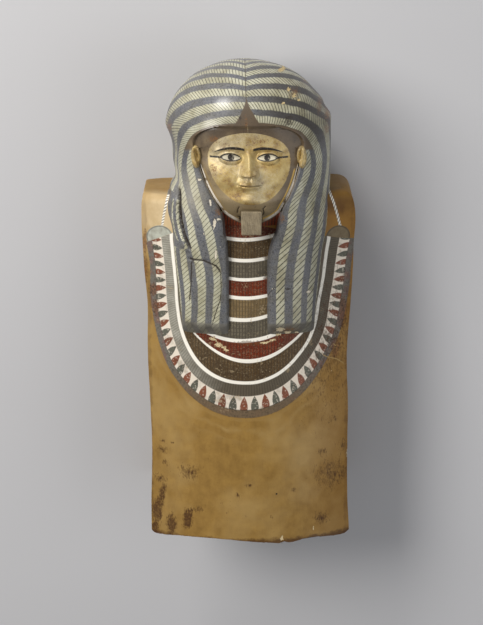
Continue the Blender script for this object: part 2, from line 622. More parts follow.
# Each stripe's angle round the head's middle. Above the turn it goes by the angle off the parting, below it by
# height. The first column is that place, the others are stripes 0 to 7, counted outwards from the face.
stripes = {
    "turn": 585,
    "left": (
        (0, 14, 23.5, 32.3, 41.5, 51.1, 60.1, 70.9, 80), (20, 14.5, 23.9, 33.9, 45.3, 57.9, 70.3, 85, 97),
        (35, 17, 26.6, 37.4, 51.6, 65.4, 82, 98, 111), (45, 20, 29.2, 41, 57.6, 75, 92, 107, 120),
        (60, 26, 35.3, 48.6, 69.5, 88, 106, 120, 133), (70, 31.5, 40.8, 55, 77, 96, 114, 128, 140),
        (80, 36.5, 45.5, 58, 82, 102, 119, 132, 143), (90, 39.6, 50, 61, 84, 104, 120, 133, 144)),
    "leftLow": (
        (585, 39.6, 50, 61, 84), (569, 42.2, 53.6, 64.5, 82), (557, 42.2, 55.6, 67.5, 88), (546, 41, 56.2, 69.5, 98),
        (535, 39.8, 55.2, 70, 98), (518, 38.2, 52.2, 66.5, 88), (503, 36.5, 50.3, 61.5, 76), (487, 33.6, 47.4, 56, 66),
        (467, 30.2, 44.4, 52, 62), (444, 27.8, 41.4, 50.6, 60), (414, 25.5, 37.9, 49.8, 59.5),
        (390, 24.7, 37.2, 48.8, 58.5), (360, 26.4, 38, 48.1, 58), (334, 27.6, 38.9, 49.6, 59)),
    "right": (
        (0, 14, 23.5, 32.3, 41.5, 51.1, 60.1, 70.9, 80), (20, 14.5, 24.1, 33.9, 45, 57.6, 70.7, 86, 98),
        (35, 17, 27, 37.4, 50.3, 65.2, 84, 98, 111), (45, 20, 29.6, 41.2, 55.4, 73.5, 92, 107, 120),
        (60, 26, 36.4, 50.8, 65.6, 86, 104, 119, 132), (70, 31.5, 42.6, 57.6, 76, 96, 113, 127, 140),
        (80, 36.5, 46.4, 65.5, 84, 102, 118, 131, 142), (90, 41, 50.4, 69, 87, 104, 119, 132, 143)),
    "rightLow": (
        (585, 41, 50.4, 69, 87), (574, 42.4, 52.6, 70.4, 86), (562, 41.8, 53.6, 71.2, 85), (549, 39.7, 52.4, 69.6, 83),
        (535, 36.1, 49.8, 66, 79), (516, 31.7, 45.3, 60.9, 74), (499, 29.4, 43.6, 56.8, 70),
        (484, 29.6, 43.2, 53.8, 66),
        (444, 27.6, 41.4, 51.8, 62), (403, 26.1, 39.6, 51.2, 60), (380, 26.3, 39.7, 49.9, 59),
        (338, 26.8, 40.1, 49.8, 58.6)),
    "spacing": 10.0,                         # in degrees, beyond the last stripe given
    "radius": 118.0,
    # by stripe: spacing and slant of the cross lines on the dome; by height: the same on the lappets
    "leftDome": ((1, 3.7, -32), (2, 4.3, -18), (3, 4.7, -5), (4, 4.9, 0)),
    "leftHatch": ((300, 4.7, -39), (500, 4.7, -39), (585, 4.3, -36)),
    "rightDome": ((1, 3.2, 20), (2, 3.5, 36), (3, 3.6, 38), (4, 4.0, 42)),
    "rightHatch": ((300, 6.7, 46), (440, 6.7, 46), (500, 5.4, 48), (585, 4.4, 44)),
}

collar = {
    "outer": (2.0, 400.0, 146.0, 210.0, 2.12),   # middle, height of the middle, half width, drop, fullness
    "inner": (0.0, 404.0, 113.0, 163.6, 2.2),
    "petalPath": (1.0, 402.0, 130.0, 188.0, 2.0),
    "drift": ((250, -6.3), (268, -5.2), (280, -4.1), (299, -2.4), (330, -1.4), (363, -0.7), (384, 0.8), (396, 1.4),
              (419, 1.9), (431, 2.1), (450, 2.9)),
    "outerBreadth": ((380, 1.0), (410, 1.004), (435, 1.035), (455, 1.06)),
    "innerBreadth": ((256, 1.01), (280, 0.998), (302, 0.991), (325, 0.978), (337, 0.966), (349, 0.956), (361, 0.953),
                     (384, 0.958), (396, 0.969), (407, 0.978), (419, 0.99), (431, 1.002), (450, 1.026)),
    "petalSpacing": (15.5, 12.0),            # at the bottom and up the sides
    "petalShift": 0.445,
    "rows": ((454.9, 0.0034, 0.045), (424.2, 0.0036, 0.04), (396.0, 0.0036, 0.035), (369.1, 0.0038, 0.035),
             (337.0, 0.0042, 0.083), (305.7, 0.0042, 0.08), (274.9, 0.0067, 0.0)),     # height, sag, tilt
    "terminals": (((-146.6, 441.1), (-109.5, 458.9), 17.5), ((111.9, 454.2), (147.7, 446.1), 17.0)),
    "cords": (((-125, 466), (-124.1, 467.4), (-121.0, 485.4), (-116.4, 506.4), (-113, 516)),
              ((135, 460), (134.0, 463.0), (129.4, 478.4), (123.3, 495.3), (117.3, 509.2), (115, 516))),
}


def stripeAngles(places, tables):
    # angle of stripes -1 to 17 at each place, columns by stripe
    at = np.array([row[0] for row in tables], float)
    given = np.array([row[1:] for row in tables], float)
    columns = [np.interp(places, at, column) for column in given.T]
    columns.insert(0, columns[0] - stripes["spacing"])
    while len(columns) < 19:
        columns.append(columns[-1] + stripes["spacing"])
    return np.stack(columns, 1)


def stripeField(x, h, z):
    # stripe number counted outwards, whole in the middle of a yellow stripe, and the count of cross lines
    side, depth = np.abs(x), z - wig["centre"]
    up = np.maximum(h - stripes["turn"], 0.0)
    down = np.maximum(stripes["turn"] - h, 0.0)
    turn = np.degrees(np.arctan2(side, up))
    polar = np.degrees(np.arctan2(np.hypot(side, up), depth))
    number, count = np.zeros(x.shape), np.zeros(x.shape)
    for name, here in (("left", x < 0), ("right", x >= 0)):
        dome = stripes[name]
        angles = stripeAngles(turn, dome)
        low = stripeAngles(h, stripes[name + "Low"][::-1])
        ends = stripeAngles(np.array([90.0]), dome)[0]
        behind = smoothStep(450, 500, h)[:, None]
        low[:, 5:] = low[:, 4:5] + (ends[5:] - ends[4]) * behind + (low[:, 5:] - low[:, 4:5]) * (1.0 - behind)
        angles = np.where((h < stripes["turn"])[:, None], low, angles)
        k = np.clip((polar[:, None] > angles).sum(1) - 1, 0, angles.shape[1] - 2)
        rows = np.arange(len(x))
        gap = np.maximum(angles[rows, k + 1] - angles[rows, k], 1.0)
        found = k - 1 + (polar - angles[rows, k]) / gap
        nearest = np.clip(np.round(found), 0, 16)
        across = (found - nearest) * np.radians(gap) * stripes["radius"]

        grid = np.linspace(0.0, 90.0, 91)
        curves = stripeAngles(grid, dome)
        by, spaces, slants = np.array(stripes[name + "Dome"], float).T
        lines = np.zeros(x.shape)
        for n in range(17):
            curve = np.radians(curves[:, n + 1])
            steps = np.hypot(np.sin(curve[1:]) * np.radians(np.diff(grid)), np.diff(curve)) * stripes["radius"]
            run = np.concatenate([[0.0], np.cumsum(steps)])
            slant = math.radians(np.interp(n, by, slants))
            total = np.interp(turn, grid, run) * math.cos(slant) / np.interp(n, by, spaces)
            total += across * math.sin(slant) / np.interp(n, by, spaces) * (h >= stripes["turn"])
            lines = np.where(nearest == n, total, lines)
        by, spaces, slants = np.array(stripes[name + "Hatch"], float).T
        heights = np.arange(0.0, 300.0, 2.0)
        rate = np.cos(np.radians(np.interp(stripes["turn"] - heights, by, slants))) \
            / np.interp(stripes["turn"] - heights, by, spaces)
        lines += np.interp(down, heights, np.cumsum(rate) * 2.0 - rate[0] * 2.0)
        slant = np.radians(np.interp(h, by, slants))
        lines += across * np.sin(slant) / np.interp(h, by, spaces) * (h < stripes["turn"])
        number = np.where(here, found, number)
        count = np.where(here, lines, count)
    return number, count


def foldedStripes(x, h, number):
    # beyond the fold the stripes are squeezed together
    distance, along = polylineField(damage["fold"], x, h)
    inFold = smoothStep(0.06, 0.13, along) * (distance < 0) * smoothStep(440, 446, h)
    given = np.array(damage["foldStripes"], float).T
    spread = 0.5 + 0.5 * smoothStep(0.05, 0.4, along)
    return number + (np.interp(-distance / spread, *given) - number) * inFold


def openingDistance(x, h):
    # distance in from the edge of the wig's opening, negative on the wig
    heights = np.concatenate([np.arange(305.0, 600.0, 0.8), 624 - 24 * np.linspace(1, 0, 90) ** 2])
    half = opening(heights)
    outline = [(s * w, t) for s in (-1, 1) for w, t in zip(half, heights)]
    outline += [(w, wig["hairline"]) for w in np.linspace(-half[-1], half[-1], 30)]
    tree = KDTree(len(outline))
    for k, (w, t) in enumerate(outline):
        tree.insert((w, t, 0), k)
    tree.balance()
    near = np.array([tree.find((a, b, 0))[2] for a, b in zip(x, h)])
    return np.where((np.abs(x) < opening(h)) & (h < wig["hairline"]), near, -near)


def collarField(x, h):
    # share across the bands from the outer edge in, petal count along them, and how far inside the inner curve
    def reach(curve, breadth):
        middle, top, half, drop, power = curve
        aside = np.abs(x - middle - through(collar["drift"], h)) / half / through(breadth, h)
        return (aside ** power + (np.maximum(top - h, 0.0) / drop) ** power) ** (1.0 / power)
    outer = reach(collar["outer"], collar["outerBreadth"])
    inner = reach(collar["inner"], collar["innerBreadth"])
    share = np.clip((1.0 - outer) / np.maximum(inner - outer, 0.02), -4.0, 4.0)
    middle, top, half, drop, power = collar["inner"]
    steep = np.hypot((x - middle) / half ** 2, np.minimum(h - top, 0.0) / drop ** 2) / np.maximum(inner, 0.2)
    inset = (1.0 - inner) / np.maximum(steep, 1e-4)
    middle, top, half, drop, power = collar["petalPath"]
    grid = np.linspace(0.0, math.pi / 2, 181)
    steps = np.hypot(np.diff(half * np.sin(grid)), np.diff(drop * np.cos(grid)))
    low, high = collar["petalSpacing"]
    counts = np.concatenate([[0.0], np.cumsum(steps / (low + (high - low) * np.sin(grid[1:]) ** 2))])
    turn = np.arctan2(np.abs(x - middle) / half, np.maximum(top - h, 0.0) / drop)
    petals = np.sign(x - middle) * (np.interp(turn, grid, counts) + np.maximum(h - top, 0.0) / high)
    return share, petals, inset


def rowField(x, h):
    # which row of the collar: whole numbers on the white lines, counted down
    lines = [height + sag * x ** 2 + tilt * x for height, sag, tilt in collar["rows"]]
    number = np.where(h > lines[0], (lines[0] - h) / 29.0, 0.0)
    for k in range(len(lines) - 1):
        share = (lines[k] - h) / np.maximum(lines[k] - lines[k + 1], 5.0)
        number = np.where((h <= lines[k]) & (h > lines[k + 1]), k + share, number)
    last = len(lines) - 1
    return np.where(h <= lines[last], last + (lines[last] - h) / 29.0, number)


def shoulderField(x, h):
    # height over the terminals' base lines, distance inside their round tops, and the cords, with scratches below
    over = np.full(x.shape, -50.0)
    inside = np.full(x.shape, -50.0)
    for (ax, ah), (bx, bh), rise in collar["terminals"]:
        width = math.hypot(bx - ax, bh - ah)
        ux, uh = (bx - ax) / width, (bh - ah) / width
        along = (x - ax) * ux + (h - ah) * uh - width / 2
        above = (h - ah) * ux - (x - ax) * uh
        here = np.sign(x) == np.sign(ax)
        over = np.where(here, above, over)
        inside = np.where(here, (1.0 - np.hypot(along / (width / 2), above / rise)) * rise, inside)
    cord, along = polylineField(collar["cords"][0], x, h)
    other, otherAlong = polylineField(collar["cords"][1], x, h)
    onRight = x > 0
    cord = np.where(onRight, other, cord)
    scratch = nearestLine(damage["scratches"], (1.0, 1.0), x, h)
    return over, inside, np.where(h > 400, cord, scratch), np.where(onRight, otherAlong, along) * 50.0


def nearestLine(lines, widths, x, h):
    # signed distance to the nearest of several lines, in their widths
    signed = np.full(x.shape, 60.0)
    for points, width in zip(lines, widths):
        distance, along = polylineField(points, x, h)
        beyond = np.maximum(np.maximum(-along, along - 1.0), 0.0) * 60.0
        distance = distance / width + np.sign(distance + 1e-6) * beyond
        signed = np.where(np.abs(distance) < np.abs(signed), distance, signed)
    return signed


def store(mesh, name, *columns):
    data = np.zeros((len(mesh.vertices), 3))
    for k, column in enumerate(columns):
        data[:, k] = column
    layer = mesh.attributes.new(name, "FLOAT_VECTOR", "POINT")
    layer.data.foreach_set("vector", data.astype(np.float32).ravel())


def storePaint(mesh, rest):
    x, h, z = rest.T
    xs = x - lean(h)
    number, count = stripeField(xs, h, z)
    number = foldedStripes(xs, h, number)
    edge = openingDistance(xs, h)
    chin, rise = wig["chinLine"]
    overChin = (h - chin - rise * xs ** 2) / np.hypot(1.0, 2 * rise * xs)
    store(mesh, "wigAt", number, count, edge)
    store(mesh, "faceAt", xs, h, np.minimum(edge, overChin))
    store(mesh, "collarAt", *collarField(x, h))
    over, inside, cord, along = shoulderField(x, h)
    store(mesh, "shoulderAt", over, inside, cord)
    store(mesh, "rowAt", rowField(x, h), along, nearestLine(damage["cracks"], damage["crackWidths"], xs, h))
    front = z > 100
    fields = [np.where(front, spotField(damage[kind], xs, h), -3.0) for kind in ("pale", "rust", "dark")]
    store(mesh, "wornAt", *fields)


storePaint(mask.data, rest)
print("paint laid out")


# Shader work: sockets that can be added and multiplied like numbers

class Wire:
    def __init__(self, shop, socket):
        self.shop = shop
        self.socket = socket

    def __add__(self, other):
        return self.shop.sums("ADD", self, other)

    def __sub__(self, other):
        return self.shop.sums("SUBTRACT", self, other)

    def __rsub__(self, other):
        return self.shop.sums("SUBTRACT", other, self)

    def __mul__(self, other):
        return self.shop.sums("MULTIPLY", self, other)

    def __truediv__(self, other):
        return self.shop.sums("DIVIDE", self, other)

    def __rtruediv__(self, other):
        return self.shop.sums("DIVIDE", other, self)

    def __pow__(self, other):
        return self.shop.sums("POWER", self, other)

    def __and__(self, other):
        return self.shop.sums("MINIMUM", self, other)

    def __or__(self, other):
        return self.shop.sums("MAXIMUM", self, other)

    def __neg__(self):
        return self.shop.sums("MULTIPLY", self, -1.0)

    def __abs__(self):
        return self.shop.sums("ABSOLUTE", self)

    __radd__ = __add__
    __rmul__ = __mul__
    __rand__ = __and__
    __ror__ = __or__


class Shop:
    # one material and the nodes in it
    def __init__(self, name):
        self.material = bpy.data.materials.new(name)
        self.material.use_nodes = True
        self.tree = self.material.node_tree
        self.tree.nodes.clear()
        self.places = self.out(self.node("ShaderNodeTexCoord"), "Object")

    def node(self, kind, settings=None, sockets=None):
        made = self.tree.nodes.new(kind)
        for name, value in (settings or {}).items():
            if name == "stops":
                self.setStops(made.color_ramp, value)
            elif name == "ramp":
                made.color_ramp.interpolation = value
            else:
                setattr(made, name, value)
        for name, value in (sockets or {}).items():
            self.feed(next(s for s in made.inputs if name in (s.identifier, s.name)), value)
        return made

    def setStops(self, ramp, stops):
        while len(ramp.elements) < len(stops):
            ramp.elements.new(1.0)
        for element, (place, colour) in zip(ramp.elements, stops):
            element.position = place
            element.color = (*colour, 1.0)

    def feed(self, socket, value):
        if isinstance(value, Wire):
            self.tree.links.new(value.socket, socket)
        elif isinstance(value, tuple) and len(value) == 3 and len(socket.default_value) == 4:
            socket.default_value = (*value, 1.0)
        else:
            socket.default_value = value

    def out(self, node, name):
        return Wire(self, next(s for s in node.outputs if name in (s.identifier, s.name)))

    def sums(self, operation, first, second=0.0, third=0.0, clamp=False):
        return self.out(self.node("ShaderNodeMath", {"operation": operation, "use_clamp": clamp}, {
            "Value": first, "Value_001": second, "Value_002": third}), "Value")

    def over(self, value, edge, soft):
        # 0 below the edge and 1 above it, over a width of soft
        if isinstance(edge, Wire):
            value, edge = value - edge, 0.0
        return self.sums("MULTIPLY_ADD", value, 1.0 / soft, 0.5 - edge / soft, clamp=True)

    def under(self, value, edge, soft):
        return 1 - self.over(value, edge, soft)

    def within(self, value, half, soft):
        return self.under(abs(value), half, soft)

    def toNearest(self, value):
        # distance to the nearest whole number
        return abs(self.sums("WRAP", value, 0.5, -0.5))

    def split(self, vector):
        parts = self.node("ShaderNodeSeparateXYZ", None, {"Vector": vector})
        return [self.out(parts, axis) for axis in "XYZ"]

    def read(self, name):
        return self.split(self.out(self.node("ShaderNodeAttribute", {"attribute_name": name}), "Vector"))

    def grain(self, size, detail=3.0, rough=0.55, stretch=None, twist=0.0):
        # noise whose spots are about size millimetres, from 0 to 1
        places = self.places
        if stretch:
            places = self.out(self.node("ShaderNodeVectorMath", {"operation": "MULTIPLY"}, {
                "Vector": places, "Vector_001": stretch}), "Vector")
        return self.out(self.node("ShaderNodeTexNoise", None, {
            "Vector": places, "Scale": 1.0 / (size * mm), "Detail": detail, "Roughness": rough,
            "Distortion": twist}), "Fac")

    def mix(self, first, second, share):
        return self.out(self.node("ShaderNodeMix", {"data_type": "RGBA"}, {
            "Factor_Float": share, "A_Color": first, "B_Color": second}), "Result_Color")

    def scaled(self, colour, amount):
        return self.out(self.node("ShaderNodeVectorMath", {"operation": "SCALE"}, {
            "Vector": colour, "Scale": amount}), "Vector")

    def finish(self, colour, rough, height, depth, metal=0.0, coat=0.0, coatRough=0.2, shine=0.5):
        bump = self.out(self.node("ShaderNodeBump", None, {
            "Strength": 1.0, "Distance": depth * mm, "Height": height}), "Normal")
        shader = self.node("ShaderNodeBsdfPrincipled", None, {
            "Base Color": colour, "Roughness": rough, "Metallic": metal, "Normal": bump,
            "Coat Weight": coat, "Coat Roughness": coatRough, "Specular IOR Level": shine})
        self.node("ShaderNodeOutputMaterial", None, {"Surface": self.out(shader, "BSDF")})
        return self.material


def tone(red, green, blue, gain=1.0):
    # a colour given as screen values, turned into the light that a surface sends back
    return tuple(gain * (c / 255 / 12.92 if c <= 10 else ((c / 255 + 0.055) / 1.055) ** 2.4)
                 for c in (red, green, blue))


# Paint of the head: striped wig, straps and gilded face

headPaint = {
    "blue": tone(95, 97, 104),
    "blueWorn": tone(103, 102, 99),
    "blueDark": tone(54, 51, 48),
    "bluePale": tone(134, 134, 128),
    "yellow": tone(202, 201, 180),
    "yellowWorn": tone(172, 167, 136),
    "hatch": tone(42, 40, 32),
    "white": tone(240, 231, 215),
    "strapTan": tone(150, 128, 96),
    "band": tone(148, 130, 98),
    "bandDark": tone(96, 80, 60),
    "gold": tone(198, 176, 120),
    "goldDeep": tone(164, 136, 78),
    "goldPale": tone(216, 203, 170),
    "goldWorn": tone(116, 80, 42),
    "giltLine": tone(206, 168, 84),
    "line": tone(44, 40, 36),
    "eyeWhite": tone(206, 198, 174),
    "red": tone(150, 62, 28),
    "plaster": tone(232, 224, 204),
    "plasterDome": tone(206, 186, 138),
    "lappetEnd": tone(112, 108, 97),
    "rust": tone(132, 86, 38),
    "grime": tone(50, 42, 34),
    "yellowShare": 0.265,                    # half of a yellow stripe, as a share of the spacing
    "hatchShare": 0.075,                     # half of a cross line, on the left lappet
    "hatchMore": (0.03, 0.03, -0.02),         # more of it on the dome, on the right, and on the dome's right
    "strapHalf": (1.3, 2.1),                 # half width of the white strap at the top and under the chin
    "strapInset": 0.8,
    "oval": (572.0, 41.0, 60.0, 58.0),       # gilded oval: height of its widest part, rise, fall, half width
}


def faceMarks(shop, side, h):
    # brows, eyes and their long outer lines; returns masks of the dark lines, of the eye and of the mouth line
    spacing, half = face["eyeSpacing"], face["eyeHalfWidth"]
    u = (side - spacing) / half
    lidShare = (1 - u * u) | 0.0
    up = h - eyeLine - 0.7 * u
    top = face["upperLid"] * lidShare ** 0.75
    low = -face["lowerLid"] * lidShare ** 0.85
    across = shop.within(u, 1.0, 0.06)
    eye = shop.over(up, low, 0.6) & shop.under(up, top, 0.6) & across
    lids = shop.within(up - top - 0.5, 1.15, 0.6) | shop.within(up - low + 0.4, 0.75, 0.6)
    lids = lids & shop.within(u, 1.06, 0.08)
    tail = shop.within(up + 0.2, 1.35, 0.7) & shop.over(side, spacing + half - 3, 1.0)
    tail = tail & shop.under(side, 55.0, 1.5)
    taper = 2.1 - 0.0022 * (side - 20.0) ** 2
    browBar = shop.under(abs(h - browLine(side)) - taper, 0.0, 0.7) & shop.over(side, 6.0, 1.5) \
        & shop.under(side, 50.0, 2.0)
    dx, dh = side - spacing + 0.6, up - 0.8
    iris = shop.under(dx * dx + dh * dh, 4.5 ** 2, 7.0)
    lips = shop.within(h - mouthLine(side), 0.55, 0.8) & shop.under(side, face["mouthHalfWidth"] - 1.5, 1.5)
    return lids | tail | browBar, eye, iris & eye, lips


def wigPaintMaterial():
    shop = Shop("wigPaint")
    use = headPaint
    number, count, edge = shop.read("wigAt")
    x, h, inward = shop.read("faceAt")
    pale, rust, dark = shop.read("wornAt")
    crack = shop.read("rowAt")[2]
    broad, middle, fine, speck = shop.grain(60, 2), shop.grain(14, 4), shop.grain(2.6, 3), shop.grain(0.9, 2)
    fray, sway = fine - 0.5, middle - 0.5    # for uneven edges, fine and coarse
    side = abs(x)

    wobble = sway * 0.10 + fray * 0.10
    yellow = shop.under(shop.toNearest(number) + wobble, use["yellowShare"], 0.07) & shop.over(number, -0.45, 0.05)
    torn = shop.within(h - 447.0 + fray * 4, 5.5, 1.5) & shop.under(x + fray * 3, -91.0, 1.0)
    torn = torn | (shop.within(h - 514.5 + fray * 3, 5.0, 1.5) & shop.under(x, -103.0, 1.0))
    beyond = shop.over(number, 3.45, 0.1) & shop.under(h, 443.0, 2.0)
    yellow = yellow * (1 - (torn | beyond))
    onDome = shop.over(h, 592.0, 30.0)
    moreDome, moreRight, moreBoth = use["hatchMore"]
    onRight = shop.over(x, 0.0, 4.0)
    hatchHalf = use["hatchShare"] + onDome * moreDome + onRight * (moreRight + onDome * moreBoth)
    hatch = shop.under(shop.toNearest(count) + fray * 0.10, hatchHalf, 0.10)
    strokes = shop.under(shop.toNearest(count * 3.0 + fray * 0.5), 0.12, 0.2)

    blue = shop.mix(use["blue"], use["blueWorn"], shop.over(middle + broad * 0.6, 0.83, 0.35))
    grit = shop.grain(1.8, 2)
    blue = shop.mix(blue, use["bluePale"], shop.over(grit * 0.5 + fine * 0.5, 0.53, 0.12) * 0.4)
    blue = shop.mix(blue, use["blueDark"], shop.under(grit * 0.6 + fine * 0.4, 0.42, 0.10) * 0.7)
    blue = shop.mix(blue, use["blueDark"], shop.over(x, 20.0, 50.0) * onDome * 0.7)
    cream = shop.mix(use["yellow"], use["yellowWorn"], shop.over(middle * 0.6 + broad * 0.5, 0.56, 0.3))
    creamWear = (strokes * 0.45) | (shop.over(grit * 0.5 + fine * 0.5, 0.54, 0.12) * 0.6)
    cream = shop.mix(cream, use["yellowWorn"], creamWear)
    cream = shop.mix(cream, use["hatch"], hatch * (0.97 - 0.5 * shop.over(fine, 0.62, 0.1)))
    wigColour = shop.mix(blue, cream, yellow)
    parting = shop.within(x + fray * 2.0, 0.5, 0.7) & shop.over(h, 645.0, 3.0)
    wigColour = shop.mix(wigColour, use["hatch"], parting * 0.8)

    # grey-brown band round the face, and its point over the brow
    under = (659.0 - h) | 0.0
    peak = shop.under(abs(x) - under * (0.35 + 0.0055 * under) + fray * 2, 0.0, 1.6)
    peak = peak & shop.over(h, 618.0, 2.0)
    overBrow = shop.under(number, 0.73, 0.05) & shop.over(h + sway * 4, 586.0, 4.0)
    bandColour = shop.mix(use["band"], use["bandDark"], shop.over(middle * 0.6 + h * 0.006, 3.72, 0.5))
    bandColour = shop.mix(bandColour, use["bandDark"], shop.over(x + sway * 20, 34.0, 26.0) * 0.8)
    bandColour = shop.mix(bandColour, use["grime"], (shop.over(fine, 0.66, 0.1) * 0.6) | (peak * 0.15))
    widest, rise, fall, half = use["oval"]
    tall = ((h - widest) / rise | 0.0) ** 2.6
    tall = tall + ((widest - h) / fall | 0.0) ** 1.75
    inOval = shop.over(half * ((1 - tall) | 0.0) ** 0.5 - side + fray * 3.0, 0.0, 1.2)

    gold = shop.mix(use["gold"], use["goldDeep"], shop.over(middle, 0.5, 0.3))
    gold = shop.mix(gold, use["goldPale"], shop.over(broad + 0.5 * fine, 0.80, 0.25) * 0.8)
    gold = shop.mix(gold, use["goldWorn"], shop.over(middle * 0.35 + fine * 0.4 + speck * 0.3, 0.60, 0.10) * 0.8)
    lines, eye, iris, lips = faceMarks(shop, side, h)
    gold = shop.mix(gold, use["eyeWhite"], eye)
    gold = shop.mix(gold, use["line"], ((lines | iris) * (1.0 - 0.45 * shop.over(fine, 0.62, 0.1))) | lips * 0.6)
    earX, earH = (side - face["earPlace"][0]) / face["earSize"][0], (h - face["earPlace"][1]) / face["earSize"][1]
    onEar = shop.under(earX * earX + earH * earH, 1.02, 0.1)
    inFace = shop.over(inward, 0.0, 0.7)
    gilt = (inOval & inFace) | onEar
    rimLine = shop.within(inward - 6.0, 1.1, 0.7) & shop.under(h, 560.0, 4.0) & (1 - onEar)
    giltRim = rimLine * onRight * shop.over(fine, 0.34, 0.1)

    isBand = inFace | overBrow | peak
    colour = shop.mix(wigColour, bandColour, isBand)
    colour = shop.mix(colour, use["goldDeep"], rimLine * (1 - onRight) * 0.4)
    topHalf, lowHalf = use["strapHalf"]
    strapHalf = lowHalf + (topHalf - lowHalf) * shop.over(h, 525.0, 70.0)
    strap = shop.under(abs(inward - strapHalf - use["strapInset"]), strapHalf, 0.7) \
        & shop.under(h, 566.0, 3.0) & (1 - onEar)
    strapSoil = shop.under(side, 21.0, 9.0) | shop.over(middle, 0.62, 0.1)
    strapColour = shop.mix(use["white"], use["strapTan"], strapSoil)
    colour = shop.mix(colour, strapColour, strap * (1 - 0.9 * shop.over(fine, 0.68, 0.06)))
    colour = shop.mix(shop.mix(colour, use["giltLine"], giltRim), gold, gilt)
    strip = shop.over(edge, 1.0, 1.0) & shop.under(inward, -0.5, 0.8) & shop.under(h, 520.0, 2.0)
    beadLine = shop.under(shop.toNearest(x / 4.2 + fray * 0.3), 0.2, 0.16)
    red = shop.mix(use["red"], use["goldDeep"], shop.over(fine * 0.5 + speck * 0.5, 0.58, 0.08) * 0.5)
    red = shop.mix(red, use["grime"], (beadLine * 0.75) | (shop.over(speck, 0.62, 0.1) * 0.4))
    colour = shop.mix(colour, red, strip)

    # age: crackle, grime in the grooves, chips and cracks
    step = shop.within(edge + 2.0, 1.6, 1.6) & (1 - isBand)
    colour = shop.mix(colour, use["grime"], step * 0.2)
    endFace = shop.under(h + sway * 4, float(wig["lappetEnd"] + 2), 3.0)
    endColour = shop.mix(use["lappetEnd"], use["grime"], shop.over(middle, 0.5, 0.3) * 0.3)
    colour = shop.mix(colour, endColour, endFace * 0.8)
    colour = shop.mix(colour, use["grime"], shop.over(broad * 0.5 + middle * 0.5, 0.58, 0.18) * 0.3)
    shade = shop.over(x + sway * 40, 78.0, 60.0) * shop.over(h, 605.0, 60.0)
    shade = shade | (shop.over(x + sway * 30, 50.0, 80.0) * shop.under(h, 475.0, 60.0) * 0.5)
    shade = shade | (shop.over(-x, 84.0, 16.0) * shop.over(h, 565.0, 30.0) * shop.under(h, 640.0, 30.0) * 0.7)
    shade = shade | (shop.over(abs(x), 25.0, 50.0) * shop.within(h - 630.0, 14.0, 24.0) * (0.3 + 0.15 * onRight))
    colour = shop.mix(colour, use["grime"], shade * 0.5)
    sheen = shop.within(x + 84.0, 14.0, 28.0) * shop.within(h - 520.0, 26.0, 40.0) * (1 - isBand)
    colour = shop.mix(colour, use["plaster"], sheen * (0.2 + 0.2 * middle))
    rustMask = shop.over(rust * 0.5 + fray * 1.5 + (speck - 0.5) * 1.3, 0.3, 0.35)
    colour = shop.mix(colour, shop.mix(use["rust"], use["goldWorn"], shop.over(speck, 0.5, 0.1)), rustMask * 0.8)
    darkMask = shop.over(dark + fray * 1.6, 0.15, 0.3)
    colour = shop.mix(colour, use["grime"], darkMask * 0.8)
    paleMask = shop.over(pale + fray * 1.8 + sway * 0.8, 0.15, 0.12)
    yellowed = shop.over(h, 560.0, 20.0) | shop.under(h, 340.0, 5.0) * 0.6
    chip = shop.mix(use["plaster"], use["plasterDome"], yellowed)
    chipEdge = shop.over(pale + fray * 1.8 + sway * 0.8, 0.0, 0.15) - paleMask
    colour = shop.mix(colour, use["grime"], chipEdge * 0.6)
    colour = shop.mix(colour, shop.mix(chip, use["rust"], shop.over(speck, 0.56, 0.1) * 0.4), paleMask)
    crackMask = shop.under(abs(crack + fray * 1.6), 0.55, 0.7)
    colour = shop.mix(colour, use["grime"], crackMask)

    height = fine * 0.25 + speck * 0.12 + middle * 0.4 + yellow * 0.35 * (1 - gilt) - hatch * yellow * 0.15
    height = height - paleMask * 0.9 - crackMask * 0.9 + strap * 0.5
    rough = 0.44 + middle * 0.16 + paleMask * 0.3 + darkMask * 0.1 - gilt * 0.05 + endFace * 0.15
    metal = gilt * (1 - (lines | iris | eye)) * 0.3 * shop.under(middle * 0.6 + fine * 0.5, 0.60, 0.15)
    glow = shop.over(h, 610.0, 50.0) * shop.under(abs(x + 22), 62.0, 60.0)
    coat = (1 - (paleMask | crackMask)) * (0.2 + 0.2 * shop.over(broad, 0.45, 0.3) + 0.5 * glow) * (1 - gilt * 0.8)
    return shop.finish(colour, rough, height, 0.35, metal, coat, 0.25, 0.35)


# Paint of the panels: ochre ground, broad collar, terminals and cords

panelPaint = {
    "ochre": tone(155, 121, 60),
    "ochreDeep": tone(134, 102, 48),
    "ochrePale": tone(176, 147, 92),
    "ochreRight": tone(142, 101, 36),
    "shoulder": tone(216, 193, 152),
    "shoulderRight": tone(150, 106, 40),
    "shoulderBrown": tone(86, 52, 16),
    "stain": tone(68, 38, 14),
    "white": tone(248, 243, 230),
    "red": tone(115, 38, 1),
    "brown": tone(88, 66, 36),
    "amber": tone(128, 106, 70),
    "grey": tone(100, 93, 78),
    "rowPale": tone(152, 140, 112),
    "beadPale": tone(170, 167, 154),
    "beadGrey": tone(92, 83, 68),
    "petalGround": tone(228, 217, 200),
    "petalRed": tone(128, 76, 54),
    "petalGrey": tone(94, 94, 82),
    "outerBand": tone(112, 107, 98),
    "outerRed": tone(122, 86, 82),
    "outerBrown": tone(112, 90, 62),
    "terminal": tone(182, 184, 170),
    "terminalRight": tone(122, 108, 82),
    "dark": tone(38, 31, 24),
    "plaster": tone(216, 198, 156),
    "rust": tone(126, 74, 36),
    "rowLines": (0.086, 0.094),              # half of a white line as a share of a row: upper rows, last rows
    "beadStep": 4.2,
    "whiteBand": 4.7,
    "petalWidth": 10.8,
    "twist": 3.2,
}


